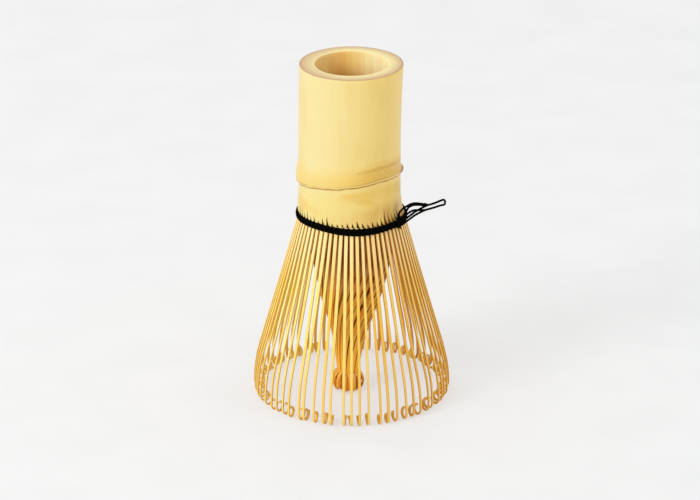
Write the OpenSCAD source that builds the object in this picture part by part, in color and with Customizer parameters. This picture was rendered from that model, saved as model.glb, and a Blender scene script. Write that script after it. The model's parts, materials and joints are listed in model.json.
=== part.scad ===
// Bamboo tea whisk: one culm, split below its node into fine tines that a black thread holds apart.
// Millimetres. +Z is up, and the origin is on the ground at the centre of the ring that the whisk stands on.

/* [Culm handle] */
// Height of the whole whisk
total_h = 105; // [100:1:115]
// Outside radius of the culm at the grip
culm_r = 15.3; // [15:0.1:15.4]
// Extra radius where the culm flares at its rim and over the thread
culm_flare = 0.2; // [0.1:0.05:0.3]
// Radius of the bore that is open at the top
bore_r = 10.9; // [9:0.1:12]
// Width of the chamfer round the bore's mouth
bore_chamfer = 0.4; // [0.2:0.1:0.8]
// Height of the growth node's ridge, at the front
node_z = 70.6; // [70:0.1:73]
// Lean of the ridge, higher on the +X side
node_tilt = 6.5; // [0:0.1:9]
// Radius of the ridge's round section
node_ridge_r = 0.5; // [0.3:0.05:0.7]
// Height of the bore's floor, on top of the node's diaphragm
bore_floor_z = 73; // [72.5:0.1:75]
// Thickness of the diaphragm inside the node
diaphragm_t = 2.6; // [2:0.1:4]
// Radius of the hollow under the diaphragm
lower_hollow_r = 12.3; // [11.8:0.1:12.4]

/* [Thread] */
// Diameter of the thread
thread_d = 0.56; // [0.4:0.02:0.6]
// Height of the outer band's middle, at the front
band_z = 57.7; // [57.4:0.1:58.4]
// Height that the outer band's courses cover
band_h = 2.3; // [2:0.1:2.6]
// Lean of the band, lower on the +X side
band_tilt = 1.3; // [0:0.1:4]
// Direction of the knot, turned from +X towards +Y
knot_az = -32; // [-60:1:0]
// Radius of the knot
knot_r = 0.85; // [0.7:0.05:1]

/* [Outer tines] */
// Number of outer tines, which flex in pairs
outer_tines = 64; // [48:16:64]
// Tine width at the thread
tine_w_root = 1; // [0.8:0.05:1]
// Tine width at the curl
tine_w_tip = 0.8; // [0.6:0.05:0.9]
// Tine thickness at the thread
tine_t_root = 0.8; // [0.6:0.05:0.8]
// Tine thickness from half way down
tine_t = 0.45; // [0.35:0.05:0.5]
// Splay of the straight stretch from the vertical
splay = 16; // [15.7:0.1:16.5]
// Radius of the cage at its widest
foot_r = 30; // [29.6:0.1:30.2]
// Outside radius of the curl at each tip
curl_r = 1.9; // [1.6:0.1:2]
// How far round each tip curls
curl_turn = 250; // [200:5:260]

/* [Inner tines] */
// Tine width where it leaves the culm
inner_w_root = 0.85; // [0.7:0.05:0.9]
// Tine width in the bundle
inner_w = 0.5; // [0.35:0.05:0.5]
// Tine thickness where it leaves the culm
inner_t_root = 0.8; // [0.6:0.05:0.9]
// Tine thickness in the bundle
inner_t = 0.35; // [0.25:0.05:0.35]
// Twist of the bundle about its axis, clockwise going down
swirl = 50; // [0:5:60]
// Sideways lean of the bundle's foot along X
lean_x = -1.2; // [-1.5:0.1:1.5]
// Sideways lean of the bundle's foot along Y
lean_y = -1; // [-1.5:0.1:1.5]

/* [Hidden] */
$fn = 64;
pitch = 360 / outer_tines;
front_az = -90;
pairs = outer_tines / 2;

// The living hinge of each outer tine lies behind the band's lower half.
hinge_r = 15.65;
hinge_drop = 0.7;
hinge_gap = 0.12;
ledge_rise = 0.7;
lip_in_r = 15;
taper_end = 20;
slit_in_r = 14;
slit_w = 0.6;

inner_thread_r = 14.3;
knot_h = 1.8;
knot_out = 17;

// Radius and height along an inner tine of each ring of the bundle, from the culm's foot to the tip.
// Only the outer ring's tips have room to curl outward and back up.
outer_ring = [[13.1, 59], [12.4, 50], [11.1, 41], [8.9, 31], [6.1, 22], [4.5, 15.5], [3.7, 10.5], [3.2, 7],
    [2.9, 3.8], [2.95, 1.7], [3.5, 0.5], [4.2, 0.6], [4.7, 1.5], [4.9, 2.9], [4.85, 4.2], [4.5, 5.5],
    [4, 6.3]];
middle_ring = [[13.1, 59], [12.3, 50], [10.8, 41], [8.3, 31], [5.4, 22], [3.75, 15.5], [2.95, 10.5],
    [2.5, 7], [2.2, 4], [2.1, 2.2], [2.2, 1.2]];
core_ring = [[13.1, 59], [12.2, 50], [10.5, 41], [7.7, 31], [4.7, 22], [3.05, 15.5], [2.25, 10.5],
    [1.8, 7], [1.5, 4.5], [1.4, 2.8]];

// Each route starts and ends at the knot, or ends free. Points are chosen by hand.
long_tail_route = [[14.9, -8.8, 57.6], [15.6, -8.1, 58.1], [16.2, -7.8, 58.6], [17, -7.8, 59.2],
    [17.9, -7.7, 59.9], [19, -7.7, 60.8], [20.2, -7.6, 61.5], [21.4, -7.6, 62.2], [22.7, -7.5, 62.8],
    [24, -7.5, 63.2], [25.3, -7.5, 63.7], [26.5, -7.4, 64.2], [27.4, -7.4, 64.5], [27.8, -7.3, 64.1],
    [27.9, -7.1, 63.4], [27.7, -6.9, 62.8], [27, -6.9, 62.6], [26, -6.9, 62.3], [24.8, -7, 61.9],
    [23.5, -7, 61.5], [22.2, -7, 61.1], [21, -7.1, 60.6], [19.9, -7.1, 60], [18.7, -7.2, 59.3],
    [17.7, -7.3, 58.5], [16.7, -7.4, 57.8], [15.8, -7.7, 57.2], [15.1, -8.4, 56.8]];
short_tail_routes = [
    [[14, -8.9, 59.3], [14, -8.9, 60], [14.2, -8.9, 60.8], [14.8, -8.9, 61.7], [15.6, -8.9, 62.5],
        [16.6, -8.9, 63.1], [17.5, -8.8, 63.6], [18.5, -8.8, 63.9], [19.7, -8.8, 63.9], [21.1, -8.8, 63.7],
        [22.7, -8.8, 63.5]],
    [[15.2, -8.5, 59.3], [15.6, -8.3, 60], [16.1, -8.3, 60.8], [16.6, -8.3, 61.7], [17, -8.3, 62.4],
        [17.8, -8.3, 62.9], [18.8, -8.3, 63.2], [20.2, -8.3, 63.2], [21.4, -8.3, 63.1], [22.4, -8.3, 63]],
    [[15.1, -8.9, 58.7], [15.7, -8.7, 59.6], [16.7, -8.6, 60.5], [17.7, -8.5, 61.2], [18.8, -8.5, 61.6],
        [20, -8.5, 61.6], [21.1, -8.5, 61.6], [22, -8.5, 61.6]]];

function pair_name(i) = str("tine_pair_", i < 9 ? "0" : "", i + 1);
pair_names = [for (i = [0 : pairs - 1]) pair_name(i)];

function lerp(a, b, t) = a + (b - a) * t;
function clamp01(t) = min(1, max(0, t));
function smooth(t) = let (c = clamp01(t)) c * c * (3 - 2 * c);
function unit(v) = v / norm(v);
// Height at which a plane that leans with the band passes over the point at x.
function leaning(z, x) = z - x * tan(band_tilt);

// ---- Culm ----

module culm_outline() {
    polygon([[0, 50], [culm_r + 0.5, 50], [culm_r + 0.5, band_z], [culm_r + culm_flare, 60.5],
        [culm_r, 63], [culm_r, 67], [culm_r + 0.45, node_z - 1], [culm_r + 0.45, node_z + 1.5],
        [culm_r, node_z + 6], [culm_r, 94],
        [culm_r + culm_flare, total_h - 0.2], [culm_r + culm_flare - 0.2, total_h], [0, total_h]]);
}

module slit(i) {
    rise = 3.4 + 0.8 * sin(137 * i);
    az = front_az + (i + 0.5) * pitch;
    foot_z = leaning(band_z - 2, culm_r * cos(az));
    rotate(az) translate([slit_in_r, 0, foot_z]) rotate([90, 0, 90]) linear_extrude(4)
        polygon([[-slit_w / 2, 0], [slit_w / 2, 0], [0, rise + 2]]);
}

module band_frame() {
    translate([0, 0, band_z]) rotate([0, band_tilt, 0]) children();
}

module culm_handle() {
    ledge = ledge_rise;
    lip = hinge_gap + tine_t_root / 2 - hinge_drop;
    color("#ecd9a0") difference() {
        union() {
            rotate_extrude($fn = 128) culm_outline();
            translate([0, 0, node_z]) rotate([0, -node_tilt, 0])
                rotate_extrude($fn = 128) translate([culm_r + 0.35, 0]) circle(r = node_ridge_r, $fn = 24);
        }
        translate([0, 0, bore_floor_z]) cylinder(r = bore_r, h = total_h, $fn = 128);
        translate([0, 0, total_h - bore_chamfer])
            cylinder(r1 = bore_r, r2 = bore_r + 2 * bore_chamfer, h = 2 * bore_chamfer, $fn = 128);
        translate([0, 0, 40]) cylinder(r = lower_hollow_r, h = bore_floor_z - diaphragm_t - 40, $fn = 128);
        band_frame() {
            translate([0, 0, ledge - 20]) cylinder(r = lip_in_r, h = 20, $fn = 128);
            translate([0, 0, lip - 20]) cylinder(r = 30, h = 20);
        }
        for (i = [0 : outer_tines - 1]) slit(i);
    }
}

// ---- Outer tines ----

function hinge_z(az) = leaning(band_z - hinge_drop, hinge_r * cos(az));
tip_x = foot_r - tine_t / 2;
// The straight stretch and the arc that turns it upright share a tangent at this height.
function bend_z(az) = (hinge_r + tan(splay) * hinge_z(az) - curl_r * tan(splay / 2) - tip_x)
    / (tan(splay) - tan(splay / 2));
function bend_radius(az) = (bend_z(az) - curl_r) / sin(splay);

function tine_side(az, side) = let (
    out = [cos(splay), sin(splay)],
    top = [hinge_r, hinge_z(az)],
    thin_z = top[1] - taper_end,
    thin = [hinge_r + tan(splay) * taper_end, thin_z],
    big_r = bend_radius(az),
    centre = [tip_x - big_r, curl_r]
) concat([top + side * tine_t_root / 2 * out, thin + side * tine_t / 2 * out],
    [for (k = [5 : -1 : 0]) centre + (big_r + side * tine_t / 2) * [cos(splay * k / 5), sin(splay * k / 5)]]);
function reversed(list) = [for (i = [len(list) - 1 : -1 : 0]) list[i]];

module curl_section() {
    reach = 3 * curl_r;
    translate([foot_r - curl_r, curl_r]) difference() {
        circle(r = curl_r);
        circle(r = curl_r - tine_t);
        polygon([[0, 0], [reach, 0], [reach, reach], [0, reach], reach * [cos(-curl_turn), sin(-curl_turn)]]);
    }
}

module outer_tine(az) {
    top = hinge_z(az);
    // An upright slice of the cage, as narrow as the tine is wide at each height.
    width_slice = [[-tine_w_root / 2, top + 1], [tine_w_root / 2, top + 1], [tine_w_root / 2, top - 2],
        [tine_w_tip / 2, 0], [tine_w_tip / 2, -1], [-tine_w_tip / 2, -1], [-tine_w_tip / 2, 0],
        [-tine_w_root / 2, top - 2]];
    rotate(az) intersection() {
        rotate([90, 0, 0]) translate([0, 0, -2]) linear_extrude(4) {
            polygon(concat(tine_side(az, 1), reversed(tine_side(az, -1))));
            curl_section();
        }
        rotate([90, 0, 90]) linear_extrude(40) polygon(width_slice);
    }
}

// Two neighbouring tines with round roots on one shared hinge line, square to the direction between them.
module tine_pair(i) {
    mid_az = front_az + (2 * i + 0.5) * pitch;
    color(i % 2 == 0 ? "#e8c878" : "#e2bf6c") for (side = [-1, 1]) {
        az = mid_az + side * pitch / 2;
        outer_tine(az);
        translate([0, 0, hinge_z(mid_az)]) rotate(mid_az)
            translate([hinge_r * cos(pitch / 2), side * hinge_r * sin(pitch / 2), 0])
                rotate([90, 0, 0]) cylinder(r = tine_t_root / 2, h = tine_w_root, center = true, $fn = 32);
    }
}

// ---- Inner tines ----

function bundle_point(az, p) = let (
    turned = az - swirl * smooth((48 - p[1]) / 40),
    lean = smooth((40 - p[1]) / 40)
) [p[0] * cos(turned) + lean_x * lean, p[0] * sin(turned) + lean_y * lean, p[1]];

module inner_tine(az, outline) {
    last = len(outline) - 1;
    line = [for (p = outline) bundle_point(az, p)];
    rings = [for (i = [0 : last]) let (
        along = unit(line[min(i + 1, last)] - line[max(i - 1, 0)]),
        turned = az - swirl * smooth((48 - outline[i][1]) / 40),
        across = [-sin(turned), cos(turned), 0],
        out = i == 0 ? [cos(turned), sin(turned), 0] : unit(cross(along, across)),
        slim = smooth((56 - outline[i][1]) / 32),
        half_w = lerp(inner_w_root, inner_w, slim) / 2,
        half_t = lerp(inner_t_root, inner_t, slim) / 2
    ) [for (c = [[-1, -1], [-1, 1], [1, 1], [1, -1]]) let (
        corner = line[i] + c[0] * half_w * across + c[1] * half_t * out
    ) i == 0 ? [corner[0], corner[1], ledge_z(corner[0])] : corner]];
    sweep(rings);
}
function ledge_z(x) = band_z + ledge_rise / cos(band_tilt) - x * tan(band_tilt);

// A closed tube through rings of points, capped at both ends.
module sweep(rings) {
    n = len(rings[0]);
    last = len(rings) - 1;
    points = [for (ring = rings) for (p = ring) p];
    sides = [for (i = [0 : last - 1]) for (k = [0 : n - 1]) let (
        a = i * n + k, b = i * n + (k + 1) % n, c = b + n, d = a + n
    ) each [[a, d, b], [b, d, c]]];
    start_cap = [for (k = [1 : n - 2]) [0, k, k + 1]];
    end_cap = [for (k = [1 : n - 2]) [last * n, last * n + k + 1, last * n + k]];
    polyhedron(points, concat(sides, start_cap, end_cap));
}

module inner_ring(outline, first, step) {
    for (j = [first : step : outer_tines - 1]) inner_tine(front_az + (j + 0.5) * pitch, outline);
}
module inner_tines_outer_ring() color("#d9a850") inner_ring(outer_ring, 0, 2);
module inner_tines_middle_ring() color("#c99540") inner_ring(middle_ring, 1, 4);
module inner_tines_core_ring() color("#b98230") inner_ring(core_ring, 3, 4);

// ---- Thread ----

module thread_outer_band() {
    half = band_h / 2;
    color("#17150f") band_frame() rotate_extrude($fn = 128)
        polygon([[15.95, half], [16.45, half - 0.1], [16.6, 0], [16.9, 0.3 - half], [16.7, -half],
            [16.45, -half], [16.1, -0.2]]);
}

module thread_inner_band() {
    color("#17150f") band_frame() rotate_extrude($fn = 128)
        translate([inner_thread_r, -hinge_drop]) square([thread_d, 2 * thread_d], center = true);
}

module thread_knot() {
    base_z = leaning(band_z, knot_out * cos(knot_az)) + 0.2;
    color("#17150f") translate([knot_out * cos(knot_az), knot_out * sin(knot_az), base_z]) {
        cylinder(r = knot_r, h = knot_h, $fn = 32);
        sphere(r = knot_r, $fn = 32);
        translate([0, 0, knot_h]) sphere(r = knot_r, $fn = 32);
    }
}

module thread_tube(route) {
    last = len(route) - 1;
    sweep([for (i = [0 : last]) let (
        along = unit(route[min(i + 1, last)] - route[max(i - 1, 0)]),
        across = unit(cross(along, [0, 1, 0])),
        up = cross(across, along)
    ) [for (k = [0 : 7]) route[i] + thread_d / 2 * (cos(45 * k) * across + sin(45 * k) * up)]]);
}
module thread_long_tail() color("#17150f") thread_tube(long_tail_route);
module thread_short_tails() color("#17150f") for (route = short_tail_routes) thread_tube(route);

culm_handle();
for (i = [0 : pairs - 1]) tine_pair(i);
inner_tines_outer_ring();
inner_tines_middle_ring();
inner_tines_core_ring();
thread_outer_band();
thread_inner_band();
thread_knot();
thread_long_tail();
thread_short_tails();
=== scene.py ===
"""Bamboo tea whisk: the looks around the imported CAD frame.

Sizes are in millimetres until mesh_piece() turns them into metres.
"""

import math
import random

import bpy
import numpy as np
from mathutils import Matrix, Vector
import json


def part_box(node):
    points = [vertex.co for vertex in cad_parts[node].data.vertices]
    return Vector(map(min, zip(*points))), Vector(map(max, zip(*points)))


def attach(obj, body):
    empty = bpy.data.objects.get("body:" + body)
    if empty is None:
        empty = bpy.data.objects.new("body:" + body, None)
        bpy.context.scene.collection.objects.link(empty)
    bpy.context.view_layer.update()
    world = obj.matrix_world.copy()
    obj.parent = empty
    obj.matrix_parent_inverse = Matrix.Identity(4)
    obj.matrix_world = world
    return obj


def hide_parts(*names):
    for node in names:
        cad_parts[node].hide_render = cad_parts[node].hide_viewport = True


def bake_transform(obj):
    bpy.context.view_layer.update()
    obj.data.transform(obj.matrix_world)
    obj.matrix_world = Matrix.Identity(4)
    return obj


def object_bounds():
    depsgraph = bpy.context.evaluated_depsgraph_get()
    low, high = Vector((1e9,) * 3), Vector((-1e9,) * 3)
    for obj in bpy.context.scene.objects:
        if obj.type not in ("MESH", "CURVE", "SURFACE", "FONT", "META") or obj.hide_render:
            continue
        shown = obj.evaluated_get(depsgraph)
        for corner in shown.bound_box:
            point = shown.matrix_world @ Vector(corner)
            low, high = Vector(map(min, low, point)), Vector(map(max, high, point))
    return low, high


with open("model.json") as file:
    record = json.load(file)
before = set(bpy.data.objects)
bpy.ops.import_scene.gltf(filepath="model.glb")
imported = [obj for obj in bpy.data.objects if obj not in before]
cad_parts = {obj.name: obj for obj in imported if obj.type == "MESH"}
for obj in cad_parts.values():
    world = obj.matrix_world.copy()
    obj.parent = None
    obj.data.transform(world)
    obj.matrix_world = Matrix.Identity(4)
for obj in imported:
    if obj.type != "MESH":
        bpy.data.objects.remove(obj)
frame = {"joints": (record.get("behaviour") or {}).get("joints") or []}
cad_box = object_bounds()

MM = 0.001
TAU = 2 * math.pi
BODY = "whisk_body"
joints = {j["child"]: j for j in frame["joints"]}
scene = bpy.context.scene


# ---- Sizes that the CAD has too ----

TOTAL_H = cad_box[1].z / MM
TINES = 2 * len(joints)
PITCH = TAU / TINES
FRONT = -math.pi / 2
CULM_R = 15.3
BORE_R = 10.9
BORE_FLOOR = 73
DIAPHRAGM_T = 2.6
LOWER_R = 12.3
NODE_Z = 70.6
NODE_SLOPE = math.tan(math.radians(6.5))
BAND_Z = 57.7
BAND_SLOPE = math.tan(math.radians(1.3))
# The lip behind the thread, where the split half ends.
LIP_Z = BAND_Z + 0.05
LIP_IN_R = 15
LEDGE_RISE = 0.7
THREAD_D = 0.56
HINGE_R = 15.65
HINGE_DROP = 0.7
SPLAY = math.radians(16)
FOOT_R = 30
CURL_R = 1.9
# How far the inner bundle twists on its way down, and how far its foot strays along X and Y.
SWIRL = math.radians(50)
LEAN = (-1.2, -1)
INNER_THREAD_R = 14.3


# ---- Sizes of the looks alone ----

# The thread's free ends, which fluff out and so are thicker than in the CAD.
TAIL_D = 0.66
LEDGE_R = 13.9
# Columns of the culm's mesh to each split.
COLUMNS_PER_SLIT = 8


# ---- Small mathematics ----


def smooth(t):
    t = np.clip(t, 0, 1)
    return t * t * (3 - 2 * t)


def unit(v):
    return v / np.maximum(np.linalg.norm(v, axis=-1, keepdims=True), 1e-12)


def leaning(z, x):
    """Height at which a plane that leans with the thread band passes over x."""
    return z - x * BAND_SLOPE


def curve_through(points, steps):
    """A Catmull-Rom curve through points, with steps pieces to each span."""
    p = np.array(points, float)
    p = np.vstack([2 * p[0] - p[1], p, 2 * p[-1] - p[-2]])
    t = np.linspace(0, 1, steps, endpoint=False)[:, None]
    spans = []
    for a, b, c, d in zip(p, p[1:], p[2:], p[3:]):
        square, cube = (2 * a - 5 * b + 4 * c - d) * t**2, (3 * b - 3 * c + d - a) * t**3
        spans.append(0.5 * (2 * b + (c - a) * t + square + cube))
    return np.vstack(spans + [p[-2][None]])


def wobble(rng, n, waves):
    """A smooth random line of n values, about -1 to 1, that starts at 0."""
    t = np.linspace(0, 1, n)
    return sum(rng.uniform(-1, 1) / (k + 1) * np.sin(math.pi * (k + 1) * t * 0.9) for k in range(waves))


# ---- Mesh making ----


class Shape:
    """Vertices, faces and named values for one mesh, gathered from several sweeps."""

    def __init__(self):
        self.points, self.faces, self.values, self.count = [], [], {}, 0

    def add(self, points, faces, **values):
        points = np.asarray(points, float).reshape(-1, 3)
        self.faces += [tuple(i + self.count for i in f) for f in faces]
        self.points.append(points)
        for name, value in values.items():
            value = np.broadcast_to(np.asarray(value, float).reshape(-1), (len(points),))
            self.values.setdefault(name, []).append(value)
        self.count += len(points)


def grid_faces(rows, columns, closed_rows=False, caps=False):
    """Quads between the points of a grid whose rows are rings."""
    faces = []
    for i in range(rows if closed_rows else rows - 1):
        a, b = i * columns, (i + 1) % rows * columns
        faces += [(a + k, a + (k + 1) % columns, b + (k + 1) % columns, b + k) for k in range(columns)]
    if caps:
        faces.append(tuple(range(columns - 1, -1, -1)))
        faces.append(tuple(range((rows - 1) * columns, rows * columns)))
    return faces


def mesh_piece(name, shape, material, sharp=None):
    mesh = bpy.data.meshes.new(name)
    points = np.vstack(shape.points) * MM
    mesh.from_pydata(points.tolist(), [], shape.faces)
    for key, parts in shape.values.items():
        mesh.attributes.new(key, "FLOAT", "POINT").data.foreach_set("value", np.concatenate(parts).astype(np.float32))
    mesh.polygons.foreach_set("use_smooth", [True] * len(mesh.polygons))
    if sharp:
        mesh.set_sharp_from_angle(angle=math.radians(sharp))
    mesh.materials.append(material)
    mesh.update()
    piece = bpy.data.objects.new(name, mesh)
    scene.collection.objects.link(piece)
    return piece


def ring_frames(path, across_hint):
    """Unit vectors along, across and out for each point of a path; across stays near the hint."""
    along = unit(np.gradient(path, axis=0))
    across = unit(across_hint - np.sum(across_hint * along, axis=1, keepdims=True) * along)
    return along, across, np.cross(along, across)


def tube(shape, path, radius, sides=10, closed=False, **values):
    """Sweeps a round section along a path, with no sudden twist."""
    path = np.asarray(path, float)
    n = len(path)
    if closed:
        along = unit(np.roll(path, -1, 0) - np.roll(path, 1, 0))
    else:
        along = unit(np.gradient(path, axis=0))
    side = np.zeros_like(path)
    side[0] = unit(np.cross(along[0], [0.3, 0.2, 0.93]))
    for i in range(1, n):
        side[i] = unit(side[i - 1] - np.dot(side[i - 1], along[i]) * along[i])
    up = np.cross(along, side)
    turn = np.linspace(0, TAU, sides, endpoint=False)
    if closed:
        slip = math.atan2(np.dot(side[-1], np.cross(along[0], side[0])), np.dot(side[-1], side[0]))
        turn = turn[None, :] - (slip * np.arange(n) / n)[:, None]
    else:
        turn = np.broadcast_to(turn, (n, sides))
    r = np.broadcast_to(np.asarray(radius, float), (n,))[:, None, None]
    rings = path[:, None] + r * (np.cos(turn)[..., None] * side[:, None] + np.sin(turn)[..., None] * up[:, None])
    steps = np.linalg.norm(np.diff(path, axis=0, prepend=path[:1]), axis=1).cumsum()
    shape.add(
        rings,
        grid_faces(n, sides, closed_rows=closed, caps=not closed),
        run=np.repeat(steps, sides),
        round=np.broadcast_to(np.linspace(0, 1, sides, endpoint=False), (n, sides)).reshape(-1),
        **values,
    )


# ---- Materials ----


class Nodes:
    """A short way to write a material's node tree."""

    def __init__(self, name):
        self.material = bpy.data.materials.new(name)
        self.material.use_nodes = True
        self.tree = self.material.node_tree
        self.shader = self.tree.nodes["Principled BSDF"]

    def put(self, socket, value):
        if isinstance(value, bpy.types.NodeSocket):
            self.tree.links.new(value, socket)
        elif isinstance(value, (tuple, list)) and len(value) == 3 and socket.type == "RGBA":
            socket.default_value = (*value, 1)
        else:
            socket.default_value = value

    def node(self, kind, output=0, settings=None, **inputs):
        made = self.tree.nodes.new(kind)
        for key, value in (settings or {}).items():
            setattr(made, key, value)
        for key, value in inputs.items():
            self.put(made.inputs[key.replace("_", " ")], value)
        return made.outputs[output]

    def attribute(self, name):
        return self.node("ShaderNodeAttribute", "Fac", {"attribute_name": name})

    def place(self, stretch):
        spot = self.node("ShaderNodeTexCoord", "Object")
        return self.node("ShaderNodeMapping", Vector=spot, Scale=stretch)

    def noise(self, vector, scale, detail=3, rough=0.5):
        return self.node("ShaderNodeTexNoise", "Fac", Vector=vector, Scale=scale, Detail=detail, Roughness=rough)

    def maths(self, operation, a, b=0.0, clamp=False):
        made = self.tree.nodes.new("ShaderNodeMath")
        made.operation, made.use_clamp = operation, clamp
        self.put(made.inputs[0], a)
        self.put(made.inputs[1], b)
        return made.outputs[0]

    def span(self, value, low, high, to_low=0.0, to_high=1.0):
        """Maps low to high onto to_low to to_high, clamped and smoothed."""
        made = self.tree.nodes.new("ShaderNodeMapRange")
        made.interpolation_type = "SMOOTHSTEP"
        names = ("Value", "From Min", "From Max", "To Min", "To Max")
        for key, number in zip(names, (value, low, high, to_low, to_high)):
            self.put(made.inputs[key], number)
        return made.outputs[0]

    def mix(self, share, a, b, blend="MIX"):
        made = self.tree.nodes.new("ShaderNodeMix")
        made.data_type, made.blend_type = "RGBA", blend
        self.put(made.inputs["Factor"], share)
        self.put(made.inputs[6], a)
        self.put(made.inputs[7], b)
        return made.outputs[2]

    def bump(self, height, strength, distance, normal=None):
        made = self.tree.nodes.new("ShaderNodeBump")
        self.put(made.inputs["Height"], height)
        self.put(made.inputs["Strength"], strength)
        self.put(made.inputs["Distance"], distance)
        if normal is not None:
            self.put(made.inputs["Normal"], normal)
        return made.outputs[0]

    def finish(self, color, rough, normal=None, **fixed):
        self.put(self.shader.inputs["Base Color"], color)
        self.put(self.shader.inputs["Roughness"], rough)
        if normal is not None:
            self.put(self.shader.inputs["Normal"], normal)
        for key, value in fixed.items():
            self.put(self.shader.inputs[key.replace("_", " ")], value)
        return self.material


def culm_skin(n, gold_and_shade_side, fibres, streaks):
    """The polished outside, the scar of the leaf sheath, and the shaved wood below it."""
    stains = n.noise(n.place((1, 1, 0.45)), 95, 3, 0.6)
    # Pale towards -X and golden towards +X: partly tone, partly painted shade.
    skin = n.mix(gold_and_shade_side, (0.77, 0.67, 0.31), (0.93, 0.66, 0.18))
    skin = n.mix(n.span(streaks, 0.35, 0.68, 0, 0.26), skin, (0.82, 0.62, 0.20))
    skin = n.mix(n.span(stains, 0.48, 0.72, 0, 0.5), skin, (0.79, 0.56, 0.14))
    skin = n.mix(n.span(fibres, 0.3, 0.75, 0, 0.15), skin, (0.74, 0.53, 0.16))
    # The scar: a pale lip, partly a painted highlight, a dark line under it, and a golden swelling above.
    off = n.attribute("scar")
    swell = n.maths("MULTIPLY", n.span(off, -0.1, 0.5), n.span(off, 7.5, 2.0))
    skin = n.mix(n.maths("MULTIPLY", swell, n.span(gold_and_shade_side, 0.1, 0.9, 0.5, 0.85)), skin, (0.80, 0.50, 0.06))
    # A brown line along the upper ridge: painted shade under it.
    skin = n.mix(n.maths("MULTIPLY", n.attribute("ridge"), 0.55), skin, (0.58, 0.28, 0.03))
    over = n.maths("MULTIPLY", n.span(off, 0.3, 0.5), n.span(off, 0.95, 0.65))
    skin = n.mix(n.maths("MULTIPLY", over, n.span(stains, 0.4, 0.6, 0.1, 0.6)), skin, (0.50, 0.26, 0.05))
    lip = n.maths("MULTIPLY", n.span(off, -0.1, 0.0), n.span(off, 0.32, 0.2))
    skin = n.mix(n.maths("MULTIPLY", lip, 0.6), skin, (0.97, 0.76, 0.28))
    under = n.maths("MULTIPLY", n.span(off, -0.7, -0.45), n.span(off, -0.02, -0.15))
    skin = n.mix(n.maths("MULTIPLY", under, n.span(streaks, 0.3, 0.6, 0.65, 1)), skin, (0.46, 0.24, 0.01))
    # Shaved wood between the node and the tines is more golden, with cloudy stains.
    clouds = n.noise(n.place((1, 1, 2.2)), 85, 3, 0.55)
    skin = n.mix(n.span(off, 0, -3, 0, 0.65), skin, n.mix(gold_and_shade_side, (0.78, 0.63, 0.20), (0.84, 0.56, 0.10)))
    cloudy = n.maths("MULTIPLY", n.span(off, -1, -3), n.span(off, -11, -7))
    skin = n.mix(n.maths("MULTIPLY", cloudy, n.span(clouds, 0.44, 0.66, 0, 0.6)), skin, (0.78, 0.48, 0.07))
    # Brown specks on the swelling's +X side, and browner streaks down by the thread, made stronger towards +X by the
    # knot as painted shade.
    grain = n.noise(n.place((1, 1, 1)), 900, 4, 0.65)
    stained = n.maths("MULTIPLY", swell, n.span(gold_and_shade_side, 0.4, 0.9))
    skin = n.mix(n.maths("MULTIPLY", stained, n.span(grain, 0.40, 0.62, 0.1, 0.45)), skin, (0.62, 0.32, 0.06))
    browned_and_shaded = n.maths("MULTIPLY", n.span(off, -6.5, -10), n.span(gold_and_shade_side, 0.4, 0.95, 0.3, 1.5))
    skin = n.mix(n.maths("MULTIPLY", browned_and_shaded, n.span(streaks, 0.4, 0.6, 0.15, 0.5)), skin, (0.66, 0.36, 0.07))
    return n.mix(n.attribute("bud"), skin, (0.20, 0.08, 0.05))


def culm_sawn_end(n, gold_and_shade_side, dots):
    """Coarse fibre ends, darker towards the skin, and a pale line at the bore's edge that is a painted highlight."""
    depth = n.attribute("wall")
    sawn = n.mix(n.span(depth, 0.1, 0.8), (0.68, 0.49, 0.25), (0.84, 0.71, 0.34))
    dotted = n.maths("MULTIPLY", n.span(dots, 0.42, 0.2), n.span(depth, 1.0, 0.0, 0.1, 0.5))
    sawn = n.mix(dotted, sawn, (0.55, 0.32, 0.14))
    sawn = n.mix(n.span(gold_and_shade_side, 0.4, 0, 0, 0.35), sawn, (0.62, 0.42, 0.20))
    sawn = n.mix(n.span(depth, 0.14, 0.03, 0, 0.7), sawn, (0.46, 0.22, 0.14))
    # Painted highlight along the bore's edge.
    return n.mix(n.span(depth, 0.84, 0.98, 0, 0.6), sawn, (0.95, 0.80, 0.42))


def culm_bore(n, across, fibres, streaks):
    """Unpolished wood with painted shade and light: browner on the -X side and darker further down it, paler on the
    +X side.
    """
    shaded_brown = n.mix(n.span(across, -0.009, -0.002), (1.0, 0.74, 0.30), (1.0, 0.62, 0.17))
    pale = n.mix(n.span(across, -0.001, 0.008), (0.98, 0.73, 0.23), (0.99, 0.94, 0.55))
    bore = n.mix(n.span(across, -0.003, 0.0005), shaded_brown, pale)
    bore = n.mix(n.span(streaks, 0.4, 0.65, 0, 0.24), bore, (0.92, 0.62, 0.22))
    bore = n.mix(n.span(fibres, 0.42, 0.62, 0, 0.3), bore, (0.86, 0.48, 0.12))
    # deep: painted shade further down the bore, on its -X side only.
    deep = n.maths("MULTIPLY", n.attribute("deep"), n.span(across, -0.009, -0.003, 0, 1))
    return n.mix(deep, bore, (0.46, 0.15, 0.015))


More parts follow.
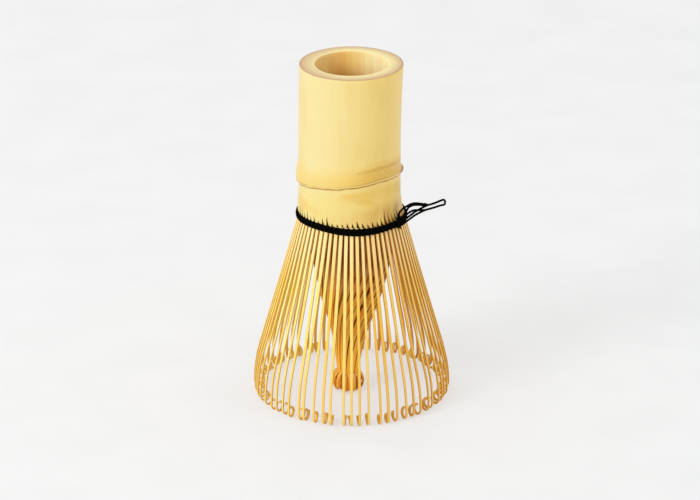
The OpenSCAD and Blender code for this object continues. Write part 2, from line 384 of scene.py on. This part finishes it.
def culm_material():
    n = Nodes("culm_bamboo")
    fibres = n.noise(n.place((1, 1, 0.018)), 2600, 4, 0.6)
    streaks = n.noise(n.place((1, 1, 0.03)), 420, 3, 0.55)
    dots = n.node("ShaderNodeTexVoronoi", "Distance", Vector=n.place((1, 1, 0.2)), Scale=1500)
    across = n.node("ShaderNodeSeparateXYZ", "X", Vector=n.node("ShaderNodeTexCoord", "Object"))
    # The +X side, away from the key light, is more golden: partly the culm's own tone, partly painted shade.
    gold_and_shade_side = n.span(across, -0.013, 0.014)
    rim, inside = n.attribute("rim"), n.attribute("inside")
    color = n.mix(rim, culm_skin(n, gold_and_shade_side, fibres, streaks), culm_sawn_end(n, gold_and_shade_side, dots))
    color = n.mix(inside, color, culm_bore(n, across, fibres, streaks))
    # Painted shade: near-black in the splits, where one looks into the dark between the tines' roots.
    color = n.mix(n.attribute("slit"), color, (0.06, 0.024, 0.006))
    normal = n.bump(n.maths("ADD", fibres, n.maths("MULTIPLY", dots, rim)), 0.25, 0.00012)
    normal = n.bump(streaks, 0.08, 0.0004, normal)
    unpolished = n.maths("MAXIMUM", rim, inside)
    rough = n.maths("ADD", n.span(fibres, 0.2, 0.8, 0.30, 0.44), n.maths("MULTIPLY", unpolished, 0.3))
    return n.finish(color, rough, normal, Specular_IOR_Level=0.45, Coat_Weight=0.12, Coat_Roughness=0.25)


def tine_material(name, pale, gold, side_color, tip_color, low_color, gold_and_shade_side=1.0, gloss=0.15):
    n = Nodes(name)
    spot = n.node("ShaderNodeTexCoord", "Object")
    # Painted shade: tines towards +X, away from the key light, turn deeper gold.
    side = n.maths("MULTIPLY", n.span(n.node("ShaderNodeSeparateXYZ", "X", Vector=spot), -0.018, 0.02), gold_and_shade_side)
    pale = n.mix(side, pale, (0.96, 0.65, 0.13))
    gold = n.mix(side, gold, (0.87, 0.47, 0.045))
    fibres = n.noise(n.place((1, 1, 0.05)), 3600, 3, 0.6)
    patches = n.noise(n.place((1, 1, 0.3)), 160, 2, 0.5)
    tone = n.maths("ADD", n.maths("MULTIPLY", n.attribute("tone"), 0.65), n.maths("MULTIPLY", patches, 0.35))
    color = n.mix(n.span(tone, 0.25, 0.8), pale, gold)
    color = n.mix(n.span(fibres, 0.35, 0.75, 0, 0.35), color, side_color)
    color = n.mix(n.span(n.attribute("reach"), 0.2, 0.07, 0, 0.55), color, (1.0, 0.76, 0.40))
    color = n.mix(n.span(n.attribute("reach"), 0.2, 0.42, 0, 0.6), color, low_color)
    # Flanks and inner face take side_color: partly their own cut colour, partly painted shade, more of it towards +X.
    color = n.mix(n.maths("MULTIPLY", n.attribute("flank"), n.span(side, 0.05, 0.4, 0.45, 0.82)), color, side_color)
    color = n.mix(n.span(n.attribute("reach"), 0.82, 1.0, 0, 0.6), color, tip_color)
    color = n.mix(n.maths("MULTIPLY", n.attribute("shade"), 0.92), color, (0.17, 0.03, 0.0))
    normal = n.bump(fibres, 0.25, 0.00008)
    return n.finish(color, n.span(fibres, 0.3, 0.7, 0.36, 0.5), normal, Specular_IOR_Level=gloss)


def thread_material():
    n = Nodes("black_thread")
    twist = n.maths("ADD", n.maths("MULTIPLY", n.attribute("run"), 1.1), n.attribute("round"))
    ply = n.maths("ABSOLUTE", n.maths("SINE", n.maths("MULTIPLY", twist, TAU)))
    fuzz = n.noise(n.place((1, 1, 1)), 9000, 2, 0.6)
    color = n.mix(n.span(n.maths("MULTIPLY", ply, fuzz), 0.2, 0.7), (0.0005, 0.0008, 0.0003), (0.005, 0.005, 0.003))
    normal = n.bump(ply, 0.5, 0.00008)
    normal = n.bump(fuzz, 0.35, 0.00005, normal)
    return n.finish(color, 0.85, normal, Specular_IOR_Level=0.04)


# ---- Camera and cords ----

# The middle lines of the thread's free ends, the same as in the CAD.
LONG_TAIL = [(14.9, -8.8, 57.6), (15.6, -8.1, 58.1), (16.2, -7.8, 58.6), (17, -7.8, 59.2), (17.9, -7.7, 59.9),
    (19, -7.7, 60.8), (20.2, -7.6, 61.5), (21.4, -7.6, 62.2), (22.7, -7.5, 62.8), (24, -7.5, 63.2),
    (25.3, -7.5, 63.7), (26.5, -7.4, 64.2), (27.4, -7.4, 64.5), (27.8, -7.3, 64.1), (27.9, -7.1, 63.4),
    (27.7, -6.9, 62.8), (27, -6.9, 62.6), (26, -6.9, 62.3), (24.8, -7, 61.9), (23.5, -7, 61.5),
    (22.2, -7, 61.1), (21, -7.1, 60.6), (19.9, -7.1, 60), (18.7, -7.2, 59.3), (17.7, -7.3, 58.5),
    (16.7, -7.4, 57.8), (15.8, -7.7, 57.2), (15.1, -8.4, 56.8)]  # fmt: skip
SHORT_TAILS = [
    [(14, -8.9, 59.3), (14, -8.9, 60), (14.2, -8.9, 60.8), (14.8, -8.9, 61.7), (15.6, -8.9, 62.5),
        (16.6, -8.9, 63.1), (17.5, -8.8, 63.6), (18.5, -8.8, 63.9), (19.7, -8.8, 63.9), (21.1, -8.8, 63.7),
        (22.7, -8.8, 63.5)],
    [(15.2, -8.5, 59.3), (15.6, -8.3, 60), (16.1, -8.3, 60.8), (16.6, -8.3, 61.7), (17, -8.3, 62.4),
        (17.8, -8.3, 62.9), (18.8, -8.3, 63.2), (20.2, -8.3, 63.2), (21.4, -8.3, 63.1), (22.4, -8.3, 63)],
    [(15.1, -8.9, 58.7), (15.7, -8.7, 59.6), (16.7, -8.6, 60.5), (17.7, -8.5, 61.2), (18.8, -8.5, 61.6),
        (20, -8.5, 61.6), (21.1, -8.5, 61.6), (22, -8.5, 61.6)]]  # fmt: skip


def make_camera():
    data = bpy.data.cameras.new("camera")
    data.sensor_width = 36
    data.lens = 186.2
    data.clip_start, data.clip_end = 0.05, 20
    camera = bpy.data.objects.new("camera", data)
    camera.location = Vector((-0.48, -1011.9, 461.2)) * MM
    camera.rotation_euler = (math.pi / 2 - 0.39, 0, 0)
    scene.collection.objects.link(camera)
    scene.camera = camera


def tail_tube(route, shape, frayed):
    """One strand of thread along a route, a little fatter where a cut end frays."""
    path = curve_through(route, 6)
    radius = np.full(len(path), TAIL_D / 2) * (1 + 0.06 * np.sin(np.arange(len(path)) * 1.7))
    if frayed:
        radius[-6:] *= np.array([1.0, 1.1, 1.2, 1.25, 1.1, 0.7])
    tube(shape, path, radius, 12)
    return path


def make_tails(material):
    shape = Shape()
    path = tail_tube(LONG_TAIL, shape, frayed=False)
    long_tail = mesh_piece("long_thread_tail", shape, material)
    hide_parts("thread_long_tail")
    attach(long_tail, BODY)
    shape = Shape()
    for route in SHORT_TAILS:
        tail_tube(route, shape, frayed=True)
    short = mesh_piece("short_thread_tails", shape, material)
    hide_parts("thread_short_tails")
    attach(short, BODY)


# ---- Culm ----


def scar_height(angle):
    """Height of the sheath scar round the culm: it leans, hangs lower at both sides, and wanders a little."""
    plane = NODE_Z + (CULM_R + 0.3) * NODE_SLOPE * np.cos(angle)
    wander = 0.06 * np.sin(11 * angle) + 0.05 * np.sin(19 * angle + 1) + 0.03 * np.sin(37 * angle)
    sag = 0.71 * np.cos(2 * angle) + 0.25 * np.cos(4 * angle) + 0.33 * np.cos(angle) ** 5 - 0.21
    return plane - sag + wander


def culm_bend(z):
    """How far the culm's middle strays along X, since bamboo is never quite straight."""
    return np.interp(z, [57, 58.4, 60.5, 62.5, 83, 92, 98, 105], [0, -0.3, -0.7, -0.65, -0.6, -0.45, -0.3, -0.1])


def upper_ridge(off, angle):
    """A second, softer ridge that stands above the scar at the front of the +X side: 0 to 1."""
    return np.exp(-(((off - 4.4) / 0.4) ** 2)) * smooth((np.cos(angle + 0.75) - 0.68) / 0.25)


def bud_size(off, angle):
    """A dormant bud on the +X side, just above the scar: 0 to 1."""
    tall = np.where(off > 0.6, 0.5, 0.9)
    return np.exp(-(((off - 0.6) / tall) ** 2)) * np.exp(-(1 - np.cos(angle)) / 0.04)


def culm_radius(z, off, angle):
    """Outside radius at a height, off being the distance above the sheath scar."""
    heights = [57, 58.6, 60, 61.5, 69, 84, 94, 100, 104.5]
    radii = [15.85, 15.8, 15.65, 15.42, 15.25, 15.25, 15.3, 15.35, 15.48]
    base = np.interp(z, heights, radii) + 0.05 * np.sin(2 * angle + 0.8) + 0.03 * np.sin(5 * angle)
    swelling = (0.42 - 0.38 * np.cos(angle)) * np.exp(-(((off - 1.6) / 3.9) ** 2)) * smooth((off + 0.2) / 0.5)
    lip = 0.13 * np.exp(-((off / 0.17) ** 2))
    groove = 0.1 * np.exp(-(((off + 0.35) / 0.18) ** 2))
    return base + swelling + lip - groove + 0.16 * upper_ridge(off, angle) + 0.85 * bud_size(off, angle)


def culm_rows():
    """Heights of the culm's outside rows over the scar, closer together near it."""
    near = np.arange(-0.9, 1.0, 0.09)
    above = [1.2, 1.5, 1.8, 2.1, 2.4, 2.7, 3.0, 3.3, 3.7, 4.2, 5, 6, 7.5, 10, 13, 17, 21, 25, 29, 31.5, 32.6, 33.1]
    below = [-1.3, -2, -3, -4.2, -5.6, -6.6]
    return sorted([*near, *above, *below], reverse=True)


class CulmRows:
    """Rings of points that make up the culm, with their values for the material."""

    def __init__(self, columns):
        self.columns, self.rows = columns, []
        self.values = {k: [] for k in ("scar", "ridge", "bud", "rim", "wall", "inside", "deep", "slit")}

    def row(self, radius, z, angle, **given):
        radius, z, angle = np.broadcast_arrays(radius, z, angle)
        self.rows.append(np.stack([radius * np.cos(angle) + culm_bend(z), radius * np.sin(angle), z], axis=1))
        # ridge: where the painted shade line of the upper ridge falls.
        given["ridge"] = upper_ridge(given.get("scar", 30) + 0.2, angle)
        given["bud"] = 0.8 * smooth((bud_size(given.get("scar", 30), angle) - 0.2) / 0.5)
        for key, rings in self.values.items():
            rings.append(np.broadcast_to(given.get(key, 0.0), (self.columns,)))


def split_tops(slit_angle):
    """Height of the top of each split, one to a gap between tines."""
    rng = random.Random(11)
    apex = np.array([59.6 + 1.5 * rng.random() ** 1.7 + (1.6 if rng.random() < 0.15 else 0) for _ in slit_angle])
    # The splits run further up on the -X side and before the knot, and less far past it.
    further = smooth((-np.cos(slit_angle) - 0.6) / 0.35) + 1.1 * smooth((np.cos(slit_angle + 0.6) - 0.88) / 0.08)
    past = smooth((np.cos(slit_angle - 0.15) - 0.93) / 0.03)
    apex = np.where(past > 0, apex + (59.4 - apex) * past, apex)
    return leaning(apex + further * (1 - past), CULM_R * np.cos(slit_angle))


def add_splits(culm, slit_angle, even_angle, apex, bottom, scar):
    """From under the thread up to the tops of the splits, each a groove that narrows on its way up."""
    per = COLUMNS_PER_SLIT
    for t in (1, 0.8, 0.62, 0.46, 0.32, 0.2, 0.1, 0.03, 0):
        half = 0.04 + 0.62 * t**1.3
        depth = 1.7 * smooth(t / 0.3)
        angle = even_angle.copy()
        cut = np.zeros(culm.columns)
        for k, (offset, deep) in enumerate(((-half - 0.03, 0), (-half, 1), (0, 1), (half, 1), (half + 0.03, 0))):
            chosen = np.arange(k, culm.columns, per)
            angle[chosen] = slit_angle + offset / CULM_R
            cut[chosen] = deep
        for k in range(3):
            chosen = np.arange(5 + k, culm.columns, per)
            width = PITCH - 2 * (half + 0.03) / CULM_R
            angle[chosen] = slit_angle + (half + 0.03) / CULM_R + width * (k + 1) / 4
        z = apex + (bottom - apex) * t
        r = culm_radius(z, z - scar_height(angle), angle) - depth * cut
        # slit: share of the splits' painted shade, fading out near each top.
        culm.row(r, z, angle, scar=z - scar, slit=cut * min(1, t * 12))


def add_outside(culm, even_angle, apex, scar):
    """Up the outside, in rows that follow the scar near it and lie flat further away."""
    for off in reversed(culm_rows()):
        follow = 1 - smooth((abs(off) - 4) / 12)
        if off > 0:
            z = np.minimum(scar * follow + NODE_Z * (1 - follow) + off, TOTAL_H - 0.4)
        else:
            z = scar * (1 - smooth(-off / 7)) + (NODE_Z - 0.6) * smooth(-off / 7) + off
            z = np.maximum(z, apex + 0.35)
        culm.row(culm_radius(z, z - scar, even_angle), z, even_angle, scar=z - scar)


def add_rim_and_bore(culm, even_angle):
    """Over the sawn rim and down the bore to the diaphragm."""
    top_r = culm_radius(TOTAL_H - 0.4, 33, even_angle)
    bore_r = BORE_R + 0.10 * np.sin(even_angle + 0.4) + 0.07 * np.sin(3 * even_angle + 2)
    culm.row(top_r - 0.02, TOTAL_H - 0.22, even_angle, scar=30)
    culm.row(top_r - 0.10, TOTAL_H - 0.06, even_angle, scar=30, rim=0.6)
    culm.row(top_r - 0.26, TOTAL_H, even_angle, rim=1, wall=0.02)
    for part in (0.12, 0.3, 0.5, 0.7, 0.88):
        culm.row(top_r - 0.26 + (bore_r + 0.3 - top_r + 0.26) * part, TOTAL_H, even_angle, rim=1, wall=part)
    culm.row(bore_r + 0.3, TOTAL_H, even_angle, rim=1, wall=1)
    culm.row(bore_r + 0.08, TOTAL_H - 0.1, even_angle, rim=0.7, wall=1, inside=0.4)
    culm.row(bore_r, TOTAL_H - 0.35, even_angle, inside=1)
    # deep grows with depth, for the painted shade down the bore.
    for depth in (1.2, 3, 6, 10, 15, 20, 25, 29, 31):
        culm.row(bore_r, TOTAL_H - depth, even_angle, inside=1, deep=smooth((depth - 2.5) / 12))
    for part, drop in ((0.97, 0.3), (0.9, 0.7), (0.7, 1.0), (0.4, 1.1), (0.15, 1.15)):
        culm.row(bore_r * part, BORE_FLOOR + 0.3 - drop, even_angle, inside=1, deep=1)


def add_split_half_inside(culm, even_angle, bottom):
    """Under the diaphragm and down the inside of the split half, back to the first row."""
    first = culm.rows[0]
    first_r = np.hypot(first[:, 0], first[:, 1])
    first_angle = np.arctan2(first[:, 1], first[:, 0])
    ceiling = BORE_FLOOR - DIAPHRAGM_T
    ledge = leaning(BAND_Z + LEDGE_RISE, CULM_R * np.cos(even_angle))
    # deep on the split half's inside, for the same painted shade.
    for part in (0.15, 0.4, 0.7, 0.95):
        culm.row(LOWER_R * part, ceiling, even_angle, inside=1, deep=0.8)
    for z in (ceiling - 0.6, 66, 62, ledge):
        culm.row(LOWER_R, z, even_angle, inside=1, deep=0.8)
    culm.row(LEDGE_R, ledge, even_angle, inside=1, deep=0.8)
    culm.row(np.minimum(first_r, LIP_IN_R), bottom - 0.01, first_angle, inside=1, deep=0.8)


def make_culm(material):
    columns = TINES * COLUMNS_PER_SLIT
    culm = CulmRows(columns)
    slit_angle = FRONT + (np.arange(TINES) + 0.5) * PITCH
    slit_apex = split_tops(slit_angle)
    even = (np.arange(columns) - 2) / COLUMNS_PER_SLIT
    even_angle = slit_angle[0] + even * PITCH

    # Each column's share of the way from its slit to the next one, for values that belong to slits.
    share = even - np.floor(even)
    here = np.floor(even).astype(int) % TINES
    apex = slit_apex[here] + (slit_apex[(here + 1) % TINES] - slit_apex[here]) * smooth(share)

    scar = scar_height(even_angle)
    bottom = leaning(LIP_Z, CULM_R * np.cos(even_angle))
    add_splits(culm, slit_angle, even_angle, apex, bottom, scar)
    add_outside(culm, even_angle, apex, scar)
    add_rim_and_bore(culm, even_angle)
    top_rows = len(culm.rows)
    add_split_half_inside(culm, even_angle, bottom)

    # The rings run from the diaphragm's underside, round the whole wall, to its top.
    order = culm.rows[top_rows:] + culm.rows[:top_rows]
    values = {k: np.concatenate(v[top_rows:] + v[:top_rows]) for k, v in culm.values.items()}
    faces = grid_faces(len(order), columns)
    points = np.vstack(order)
    # The two centres close the diaphragm's faces.
    centres = np.array([[0, 0, BORE_FLOOR - DIAPHRAGM_T], [0, 0, BORE_FLOOR - 0.87]])
    low_centre, high_centre = len(points), len(points) + 1
    last = (len(order) - 1) * columns
    for k in range(columns):
        after = (k + 1) % columns
        faces.append((low_centre, after, k))
        faces.append((high_centre, last + k, last + after))
    ends = {"inside": 1.0, "deep": 1.0}
    values = {k: np.append(v, [ends.get(k, 0.0)] * 2) for k, v in values.items()}
    shape = Shape()
    shape.add(np.vstack([points, centres]), faces, **values)
    piece = mesh_piece("bamboo_culm", shape, material, sharp=42)
    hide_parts("culm_handle")
    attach(piece, BODY)


# ---- Outer tines ----


def strip(shape, path, across_hint, width, thick, **values):
    """Sweeps a flat section with eased edges along a path."""
    along, across, out = ring_frames(path, across_hint)
    ease = 0.14
    corners = [(-1 + ease, -1), (1 - ease, -1), (1, -1 + ease), (1, 1 - ease), (1 - ease, 1), (-1 + ease, 1),
        (-1, 1 - ease), (-1, -1 + ease)]  # fmt: skip
    # Share of side_color at each corner, for the flanks and the inner face, partly painted shade.
    flank = np.array([0, 0, 1, 1, 0.6, 0.6, 1, 1])
    rings = np.stack(
        [path + (a * width / 2)[:, None] * across + (b * thick / 2)[:, None] * out for a, b in corners], axis=1
    )
    n = len(path)
    shape.add(
        rings,
        grid_faces(n, 8, caps=True),
        flank=np.tile(flank, n),
        reach=np.repeat(np.linspace(0, 1, n), 8),
        **values,
    )


def outer_tine(shape, angle, rng):
    """One tine from inside the culm, down its splay, to the curl that it stands on."""
    hinge = leaning(BAND_Z - HINGE_DROP, HINGE_R * math.cos(angle))
    curl = CURL_R + rng.uniform(-0.25, 0.12)
    foot = FOOT_R + rng.uniform(-0.35, 0.05)
    tip_x = foot - 0.22
    slope, half_slope = math.tan(SPLAY), math.tan(SPLAY / 2)
    bend_z = (HINGE_R + slope * hinge - curl * half_slope - tip_x) / (slope - half_slope)
    bend_r = (bend_z - curl) / math.sin(SPLAY)
    r, z = [HINGE_R - 0.3, HINGE_R - 0.12, HINGE_R], [hinge + 1.6, hinge + 0.8, hinge]
    for t in np.linspace(0, 1, 15)[1:]:
        r.append(HINGE_R + slope * (hinge - bend_z) * t)
        z.append(hinge + (bend_z - hinge) * t)
    for t in np.linspace(SPLAY, 0, 9)[1:]:
        r.append(tip_x - bend_r * (1 - math.cos(t)))
        z.append(curl + bend_r * math.sin(t))
    straight = len(r)
    turn = math.radians(rng.uniform(245, 300))
    around = np.linspace(0, turn, 24)[1:]
    tall = curl - 0.2
    wide = tall * rng.uniform(0.68, 0.85)
    for t in around:
        shrink = 1 - 0.16 * (t / turn) ** 2
        r.append(tip_x - wide + wide * shrink * math.cos(t))
        z.append(curl - tall * shrink * math.sin(t))
    r, z = np.array(r), np.array(z)
    n = len(r)
    down = smooth((hinge - z) / hinge)
    side = rng.gauss(0, 0.4) * down + 0.05 * wobble(rng, n, 2)
    r = r + 0.06 * wobble(rng, n, 2) * smooth((hinge - z) / 12)
    in_curl = np.clip((np.arange(n) - straight + 1) / (n - straight), 0, 1)
    side = side + rng.uniform(-0.9, 0.9) * in_curl**1.5
    twist = rng.uniform(-0.35, 0.35) * in_curl
    radial = np.array([math.cos(angle), math.sin(angle), 0])
    tangent = np.array([-math.sin(angle), math.cos(angle), 0])
    path = r[:, None] * radial + side[:, None] * tangent + np.stack([np.zeros(n), np.zeros(n), z], 1)
    width = (1.0 - 0.26 * down) * rng.uniform(0.84, 1.1) * (1 + 0.3 * smooth((in_curl - 0.35) / 0.4))
    thick = 0.8 - 0.35 * smooth((hinge - z) / 20) + 0.08 * in_curl
    hint = tangent[None] * np.cos(twist)[:, None] + np.array([0, 0, 1.0])[None] * np.sin(twist)[:, None]
    low = (path[:, 2] - thick / 2).min() - 0.03
    path[:, 2] -= np.clip(low, None, 0) * smooth(1 - z / 12)
    # Facing down the tine, across x along points away from the axis.
    strip(shape, path, -hint, width, thick, tone=rng.random())


def make_outer_tines(material):
    for number, (body, joint) in enumerate(sorted(joints.items())):
        rng = random.Random(100 + number)
        shape = Shape()
        for k in (0, 1):
            outer_tine(shape, FRONT + (2 * number + k) * PITCH, rng)
        piece = mesh_piece(f"outer_tines_{number + 1:02d}", shape, material, sharp=35)
        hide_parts(body)
        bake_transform(piece)


# ---- Inner tines ----

OUTER_RING = [(13.1, 59), (12.4, 50), (11.1, 41), (8.9, 31), (6.1, 22), (4.5, 15.5), (3.7, 10.5), (3.2, 7),
    (2.9, 3.8), (2.95, 1.7), (3.5, 0.5), (4.2, 0.6), (4.75, 1.5), (5, 2.9), (4.8, 4.3), (4.2, 5.5),
    (3.5, 5.9)]  # fmt: skip
MIDDLE_RING = [(13.1, 59), (12.3, 50), (10.8, 41), (8.3, 31), (5.4, 22), (3.75, 15.5), (2.95, 10.5), (2.5, 7),
    (2.2, 4), (2.1, 2.2), (2.2, 1.2)]  # fmt: skip
CORE_RING = [(13.1, 59), (12.2, 50), (10.5, 41), (7.7, 31), (4.7, 22), (3.05, 15.5), (2.25, 10.5), (1.8, 7),
    (1.5, 4.5), (1.4, 2.8)]  # fmt: skip


def inner_tine(shape, angle, outline, rng):
    line = curve_through(outline, 4)
    r, z = line[:, 0], line[:, 1]
    n = len(r)
    r = r * (1 + 0.02 * wobble(rng, n, 3))
    # Curled tips differ a little from their neighbours, and gather in about seven lumps round the bundle.
    curled = smooth((r - 3.0) / 0.9) * smooth((7.5 - z) / 1.2)
    lump = math.cos(7 * angle + 0.6)
    r = r + (rng.uniform(-0.45, 0.05) - 0.4 * (lump < -0.5)) * curled
    z = z + (rng.uniform(-0.6, 0.3) * smooth((z - 3) / 3) + 0.35 * (1 - lump) * (1 - smooth((z - 1) / 4))) * curled
    low = smooth((40 - z) / 40)
    turned = angle - SWIRL * smooth((48 - z) / 40) + 0.05 * wobble(rng, n, 3) * smooth((50 - z) / 20)
    turned = turned + rng.uniform(-0.16, 0.16) * curled
    radial = np.stack([np.cos(turned), np.sin(turned), np.zeros(n)], 1)
    tangent = np.stack([-np.sin(turned), np.cos(turned), np.zeros(n)], 1)
    path = r[:, None] * radial
    path[:, 0] += LEAN[0] * low
    path[:, 1] += LEAN[1] * low
    path[:, 2] = z
    slim = smooth((56 - z) / 44)
    shade = np.repeat(0.3 * smooth((z - 10) / 12) + 0.7 * smooth((z - 32) / 16), 8)
    shade = shade * (0.74 if math.sin(23 * angle + n) > 0.5 else 1)
    width = 1.3 - 0.66 * smooth((33 - z) / 24)
    strip(shape, path, -tangent, width, 0.8 - 0.45 * slim, tone=rng.random(), shade=shade)


def make_inner_tines(material):
    rings = (("inner_tines_outer", OUTER_RING, 0, 2), ("inner_tines_middle", MIDDLE_RING, 1, 4),
        ("inner_tines_core", CORE_RING, 3, 4))  # fmt: skip
    for name, outline, first, step in rings:
        rng = random.Random(name)
        shape = Shape()
        for k in range(first, TINES, step):
            inner_tine(shape, FRONT + (k + 0.5) * PITCH, outline, rng)
        piece = mesh_piece(f"{name}_ring", shape, material, sharp=35)
        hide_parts(f"{name}_ring")
        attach(piece, BODY)


# ---- Thread ----


def band_point(angle, radius, lift):
    """A point of the thread band, which wanders a little up and down; lift is measured from its middle."""
    x, y = radius * np.cos(angle), radius * np.sin(angle)
    wander = 0.2 * np.cos(4 * (angle + math.radians(130)))
    return np.stack([x, y, leaning(BAND_Z, x) + lift + wander], axis=-1)


def make_band(material):
    """Five courses of thread round the tines, and a strand that whips them to each tine."""
    rng = random.Random(5)
    shape = Shape()
    steps = TINES * 10
    angle = np.linspace(0, TAU, steps, endpoint=False)
    beat = TINES * angle
    courses = ((0.72, 16.05, 0), (0.34, 16.08, 1.3), (-0.04, 16.14, 2.6), (-0.42, 16.22, 3.9), (-0.8, 16.38, 5.1))
    for lift, radius, phase in courses:
        r = radius + 0.07 * np.cos(beat + phase) + 0.03 * np.sin(3 * angle + phase)
        up = lift + 0.06 * np.sin(beat + phase) + 0.04 * np.sin(4 * angle + 2 * phase)
        tube(shape, band_point(angle, r, up), THREAD_D * 0.52, 10, closed=True)
    stitch = []
    for k in range(TINES):
        start = FRONT + (k - 0.5) * PITCH
        skew = rng.uniform(-0.06, 0.06)
        for t in np.linspace(0, 1, 9, endpoint=False):
            up = (1 - 2 * t) * (1 + skew) * 0.95
            bulge = 0.42 * math.sin(math.pi * t) ** 0.6
            stitch.append((start + PITCH * (0.12 + 0.76 * t), 16.2 + bulge - 0.16 * up, up - 0.1))
        for t in np.linspace(0, 1, 5, endpoint=False):
            up = (-1 + 2 * t) * 0.95
            dip = 0.55 * math.sin(math.pi * t)
            stitch.append((start + PITCH * (0.88 + 0.24 * t), 16.15 - dip - 0.16 * up, up - 0.1))
    angle, r, up = np.array(stitch).T
    tube(shape, band_point(angle, r, up), THREAD_D * 0.42, 8, closed=True)
    band = mesh_piece("thread_band_outside", shape, material)
    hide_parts("thread_outer_band")
    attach(band, BODY)

    shape = Shape()
    angle = np.linspace(0, TAU, TINES * 6, endpoint=False)
    for lift, phase in ((-0.42, 0), (-0.98, math.pi)):
        r = INNER_THREAD_R + 0.1 * np.cos(TINES * angle + phase)
        tube(shape, band_point(angle, r, lift), THREAD_D / 2, 8, closed=True)
    inner = mesh_piece("thread_band_inside", shape, material)
    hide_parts("thread_inner_band")
    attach(inner, BODY)


def make_knot(material):
    """An overhand knot drawn tight over the band, with the turn that binds it."""
    low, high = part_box("thread_knot")
    centre = np.array((low + high) / 2) / MM
    angle = math.atan2(centre[1], centre[0])
    out = np.array([math.cos(angle), math.sin(angle), 0])
    across = np.array([-math.sin(angle), math.cos(angle), 0])
    up = np.array([0, 0, 1.0])
    shape = Shape()
    t = np.linspace(0, TAU, 72, endpoint=False)
    a = np.sin(t) + 2 * np.sin(2 * t)
    b = np.cos(t) - 2 * np.cos(2 * t)
    c = -np.sin(3 * t)
    path = centre + 0.5 * a[:, None] * across + (0.54 * b[:, None]) * up + 0.42 * c[:, None] * out
    tube(shape, path, THREAD_D / 2, 10, closed=True)
    for lift, tilt, wide in ((-1.0, 0.6, 0.8), (-0.3, -0.4, 1.15), (0.3, 0.5, 1.1), (0.9, -0.35, 0.75)):
        ring = centre + up * lift + wide * np.cos(t)[:, None] * across + 0.62 * np.sin(t)[:, None] * out
        ring[:, 2] += tilt * np.cos(t)
        tube(shape, ring, THREAD_D / 2, 10, closed=True)
    # A cut end that sticks out below, and the wraps that gather the band into the knot.
    stub = centre + [[-0.1, -0.4, -0.9], [-0.1, -0.7, -1.5], [0, -0.8, -1.9], [0.1, -0.7, -2.2]]
    tube(shape, curve_through(stub, 4), THREAD_D * 0.55, 10)
    for back, lift in ((1.5, 0.95), (1.05, 1.2)):
        middle = centre - back * across - [0, 0, 0.55]
        ring = middle + lift * np.cos(t)[:, None] * up + 0.5 * np.sin(t)[:, None] * out
        ring += 0.3 * np.cos(t)[:, None] * across
        tube(shape, ring, THREAD_D / 2, 10, closed=True)
    knot = mesh_piece("thread_knot_tied", shape, material)
    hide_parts("thread_knot")
    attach(knot, BODY)


# ---- Stage ----


def make_stage():
    n = Nodes("floor_paper")
    color = n.mix(n.span(n.noise(n.place((1, 1, 1)), 40, 2), 0.3, 0.7), (0.36, 0.36, 0.36), (0.38, 0.38, 0.38))
    paper = n.finish(color, 0.9, Specular_IOR_Level=0.1, Emission_Color=(1, 1, 1), Emission_Strength=0.5)
    mesh = bpy.data.meshes.new("floor")
    half = 6
    mesh.from_pydata([(-half, -half, 0), (half, -half, 0), (half, half, 0), (-half, half, 0)], [], [(0, 1, 2, 3)])
    mesh.materials.append(paper)
    floor = bpy.data.objects.new("floor", mesh)
    scene.collection.objects.link(floor)


def area_light(name, spot, aim, size, power, color=(1, 1, 1)):
    data = bpy.data.lights.new(name, "AREA")
    data.shape, data.size, data.energy, data.color = "DISK", size, power, color
    light = bpy.data.objects.new(name, data)
    light.location = spot
    light.rotation_euler = (Vector(aim) - Vector(spot)).to_track_quat("-Z", "Y").to_euler()
    scene.collection.objects.link(light)


def make_light():
    world = bpy.data.worlds.new("studio")
    world.use_nodes = True
    world.node_tree.nodes["Background"].inputs["Color"].default_value = (1, 1, 1, 1)
    world.node_tree.nodes["Background"].inputs["Strength"].default_value = 0.87
    scene.world = world
    area_light("key", (-0.95, -0.7, 0.8), (0, 0, 0.06), 0.6, 8)
    scene.view_settings.view_transform = "Standard"


make_camera()
black = thread_material()
make_tails(black)
make_band(black)
make_knot(black)
make_culm(culm_material())
make_outer_tines(
    tine_material(
        "outer_tine_bamboo",
        pale=(1.0, 0.84, 0.27),
        gold=(0.98, 0.70, 0.13),
        side_color=(0.60, 0.24, 0.01),
        tip_color=(0.84, 0.48, 0.08),
        low_color=(0.80, 0.52, 0.13),
    )
)
# The inner tines' deeper orange is partly painted shade, as they stand inside the ring of outer tines.
make_inner_tines(
    tine_material(
        "inner_tine_bamboo",
        pale=(1.0, 0.55, 0.07),
        gold=(0.96, 0.38, 0.03),
        side_color=(0.48, 0.12, 0.003),
        tip_color=(1.0, 0.78, 0.23),
        low_color=(1.0, 0.53, 0.06),
        gold_and_shade_side=0.3,
        gloss=0.03,
    )
)
make_stage()
make_light()
